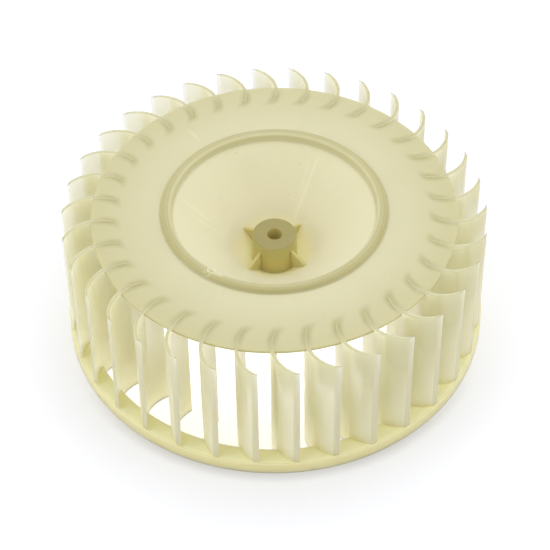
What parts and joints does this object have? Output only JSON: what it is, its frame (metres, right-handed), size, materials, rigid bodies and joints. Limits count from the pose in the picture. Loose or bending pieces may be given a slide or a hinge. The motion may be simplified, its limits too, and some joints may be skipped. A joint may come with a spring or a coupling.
{
  "type": "centrifugal fan wheel",
  "caption": "Centrifugal fan wheel with forward-curved blades between an intake ring and a back plate, whose conical dish carries a ribbed hub with a shaft bore.",
  "frame": {"origin": "centre of the intake ring's foot, on the axis of rotation", "axes": "+Z along the axis of rotation, from the intake ring towards the back plate; +X points to the right in the picture"},
  "size_m": [0.22, 0.22, 0.0778],
  "materials": {
    "moulding": "satin, milky and slightly translucent"
  },
  "bodies": {
    "root": {"fan_wheel": "moulding"}
  },
  "joints": []
}
